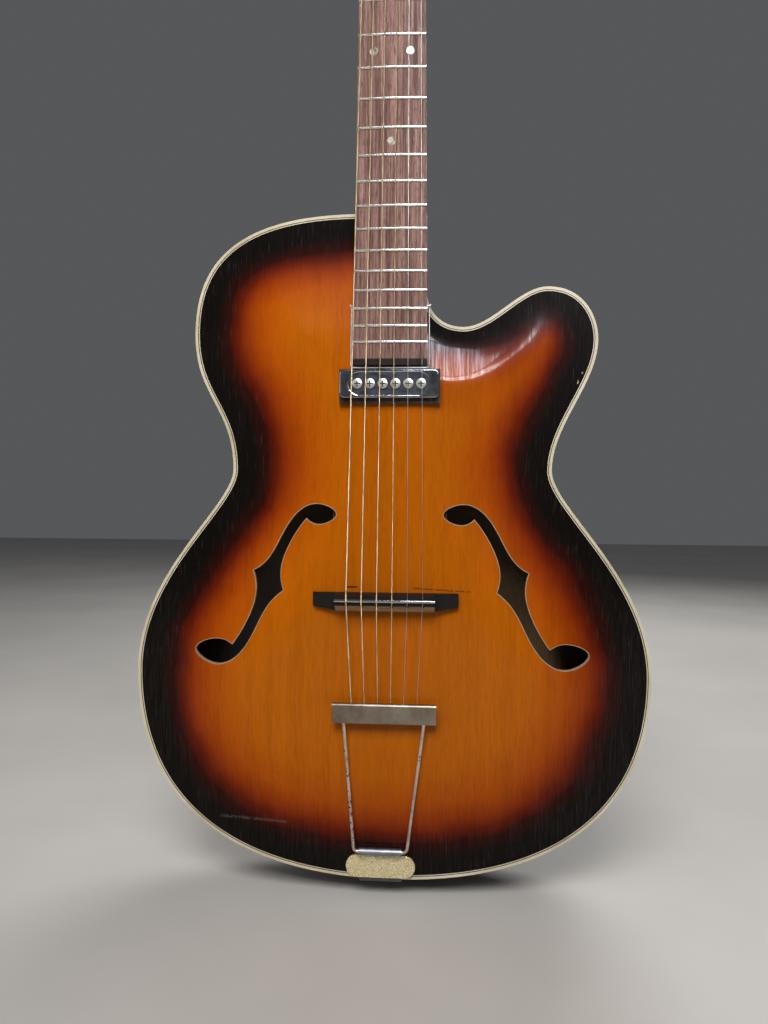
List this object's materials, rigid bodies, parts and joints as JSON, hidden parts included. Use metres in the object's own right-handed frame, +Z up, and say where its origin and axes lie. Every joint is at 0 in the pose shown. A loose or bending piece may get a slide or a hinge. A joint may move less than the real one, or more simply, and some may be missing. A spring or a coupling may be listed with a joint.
{
  "type": "archtop guitar",
  "caption": "Hollow archtop guitar with a rounded cutaway, scrolled sound holes, floating bridge, hinged trapeze tailpiece, hung pickup and worm-geared tuners.",
  "frame": {"origin": "centre of the strap button's head, on the body's centre line below the tail", "axes": "+Z up along the neck, -Y out of the front, +X to the treble side with the cutaway"},
  "size_m": [0.4246, 0.1219, 1.0528],
  "materials": {
    "sunburst_top": "glossy lacquer, amber centre to black edge",
    "sunburst_back": "glossy lacquer, red-brown centre to black edge",
    "sunburst_ribs": "glossy dark lacquer",
    "cream_binding": "aged cream celluloid",
    "black_line": "black celluloid",
    "pale_wood": "bare spruce",
    "neck_wood": "dark stained, lacquered",
    "steel": "drawn steel",
    "rosewood": "oiled, streaky",
    "nickel_silver": "polished",
    "pearl": "pearl",
    "bone": "polished bone",
    "black_lacquer": "glossy black",
    "nickel": "worn nickel plate",
    "bronze_string": "bronze wound",
    "black_wood": "black stained",
    "glitter_plate": "cream-gold glitter",
    "dark_plastic": "brown-black plastic",
    "copper_wire": "enamelled copper",
    "magnet_iron": "ground",
    "lead_sleeve": "woven sleeve",
    "tuner_shaft_and_button": "cream button on a nickel shaft"
  },
  "bodies": {
    "guitar": {"back_binding": "cream_binding", "back_plate": "sunburst_back", "bridge": "black_wood", "bridge_saddle": "nickel_silver", "fingerboard": "rosewood", "frets": "nickel_silver", "head_veneer": "black_lacquer", "jack_nut": "nickel", "linings": "pale_wood", "neck": "neck_wood", "neck_bar": "steel", "neck_block": "pale_wood", "nut": "bone", "output_jack": "nickel", "pickup_bobbin": "dark_plastic", "pickup_coil": "copper_wire", "pickup_cover": "nickel", "pickup_hanger": "steel", "pickup_lead": "lead_sleeve", "pickup_magnet": "magnet_iron", "pickup_ring": "dark_plastic", "plain_strings": "steel", "position_dots": "pearl", "post_ferrules": "nickel", "rib_at_jack": "sunburst_ribs", "rib_bass": "sunburst_ribs", "rib_treble": "sunburst_ribs", "strap_button": "nickel", "string_tails": "bronze_string", "tail_block": "pale_wood", "tail_plate": "glitter_plate", "tailpiece_bracket": "nickel", "tone_bars": "pale_wood", "top_binding": "cream_binding", "top_black_line": "black_line", "top_plate": "sunburst_top", "top_white_line": "cream_binding", "tuner_plates": "nickel", "wood_screws": "nickel", "wound_strings": "bronze_string"},
    "tuner_button_1": {"tuner_worm_1": "tuner_shaft_and_button"},
    "tuner_post_1": {"tuner_post_1": "nickel"},
    "tuner_button_2": {"tuner_worm_2": "tuner_shaft_and_button"},
    "tuner_post_2": {"tuner_post_2": "nickel"},
    "tuner_button_3": {"tuner_worm_3": "tuner_shaft_and_button"},
    "tuner_post_3": {"tuner_post_3": "nickel"},
    "tuner_button_4": {"tuner_worm_4": "tuner_shaft_and_button"},
    "tuner_post_4": {"tuner_post_4": "nickel"},
    "tuner_button_5": {"tuner_worm_5": "tuner_shaft_and_button"},
    "tuner_post_5": {"tuner_post_5": "nickel"},
    "tuner_button_6": {"tuner_worm_6": "tuner_shaft_and_button"},
    "tuner_post_6": {"tuner_post_6": "nickel"},
    "tailpiece": {"tailpiece_bar": "nickel", "tailpiece_rods": "nickel"},
    "pole_screw_1": {"pole_screw_1": "nickel"},
    "pole_screw_2": {"pole_screw_2": "nickel"},
    "pole_screw_3": {"pole_screw_3": "nickel"},
    "pole_screw_4": {"pole_screw_4": "nickel"},
    "pole_screw_5": {"pole_screw_5": "nickel"},
    "pole_screw_6": {"pole_screw_6": "nickel"}
  },
  "joints": [
    {"name": "tuner_turn_1", "type": "hinge", "parent": "guitar", "child": "tuner_button_1", "pos_m": [-0.022, -0.01356, 0.91574], "axis": [-1, 0, 0], "continuous": true},
    {"name": "post_turn_1", "type": "hinge", "parent": "guitar", "child": "tuner_post_1", "pos_m": [-0.022, -0.01129, 0.92491], "axis": [0, 0.9707, -0.2402], "continuous": true},
    {"name": "tuner_turn_2", "type": "hinge", "parent": "guitar", "child": "tuner_button_2", "pos_m": [-0.022, -0.00443, 0.95263], "axis": [-1, 0, 0], "continuous": true},
    {"name": "post_turn_2", "type": "hinge", "parent": "guitar", "child": "tuner_post_2", "pos_m": [-0.022, -0.00216, 0.9618], "axis": [0, 0.9707, -0.2402], "continuous": true},
    {"name": "tuner_turn_3", "type": "hinge", "parent": "guitar", "child": "tuner_button_3", "pos_m": [-0.022, 0.0047, 0.98952], "axis": [-1, 0, 0], "continuous": true},
    {"name": "post_turn_3", "type": "hinge", "parent": "guitar", "child": "tuner_post_3", "pos_m": [-0.022, 0.00697, 0.99869], "axis": [0, 0.9707, -0.2402], "continuous": true},
    {"name": "tuner_turn_4", "type": "hinge", "parent": "guitar", "child": "tuner_button_4", "pos_m": [0.022, 0.0047, 0.98952], "axis": [1, 0, 0], "continuous": true},
    {"name": "post_turn_4", "type": "hinge", "parent": "guitar", "child": "tuner_post_4", "pos_m": [0.022, 0.00697, 0.99869], "axis": [0, 0.9707, -0.2402], "continuous": true},
    {"name": "tuner_turn_5", "type": "hinge", "parent": "guitar", "child": "tuner_button_5", "pos_m": [0.022, -0.00443, 0.95263], "axis": [1, 0, 0], "continuous": true},
    {"name": "post_turn_5", "type": "hinge", "parent": "guitar", "child": "tuner_post_5", "pos_m": [0.022, -0.00216, 0.9618], "axis": [0, 0.9707, -0.2402], "continuous": true},
    {"name": "tuner_turn_6", "type": "hinge", "parent": "guitar", "child": "tuner_button_6", "pos_m": [0.022, -0.01356, 0.91574], "axis": [1, 0, 0], "continuous": true},
    {"name": "post_turn_6", "type": "hinge", "parent": "guitar", "child": "tuner_post_6", "pos_m": [0.022, -0.01129, 0.92491], "axis": [0, 0.9707, -0.2402], "continuous": true},
    {"name": "tailpiece_hinge", "type": "hinge", "parent": "guitar", "child": "tailpiece", "pos_m": [-0.0062, -0.0452, 0.0387], "axis": [1, 0, 0], "range_deg": [-2, 2], "stiffness_Nm_per_rad": 6, "deforming": ["string_tails"]},
    {"name": "pole_height_1", "type": "slide", "parent": "guitar", "child": "pole_screw_1", "axis": [0, -1, 0], "range_m": [-0.0003, 0.001]},
    {"name": "pole_height_2", "type": "slide", "parent": "guitar", "child": "pole_screw_2", "axis": [0, -1, 0], "range_m": [-0.0003, 0.001]},
    {"name": "pole_height_3", "type": "slide", "parent": "guitar", "child": "pole_screw_3", "axis": [0, -1, 0], "range_m": [-0.0003, 0.001]},
    {"name": "pole_height_4", "type": "slide", "parent": "guitar", "child": "pole_screw_4", "axis": [0, -1, 0], "range_m": [-0.0003, 0.001]},
    {"name": "pole_height_5", "type": "slide", "parent": "guitar", "child": "pole_screw_5", "axis": [0, -1, 0], "range_m": [-0.0003, 0.001]},
    {"name": "pole_height_6", "type": "slide", "parent": "guitar", "child": "pole_screw_6", "axis": [0, -1, 0], "range_m": [-0.0003, 0.001]}
  ],
  "couplings": [
    {"joint": "post_turn_1", "follows": "tuner_turn_1", "ratio": 0.071429},
    {"joint": "post_turn_2", "follows": "tuner_turn_2", "ratio": 0.071429},
    {"joint": "post_turn_3", "follows": "tuner_turn_3", "ratio": 0.071429},
    {"joint": "post_turn_4", "follows": "tuner_turn_4", "ratio": 0.071429},
    {"joint": "post_turn_5", "follows": "tuner_turn_5", "ratio": 0.071429},
    {"joint": "post_turn_6", "follows": "tuner_turn_6", "ratio": 0.071429}
  ]
}
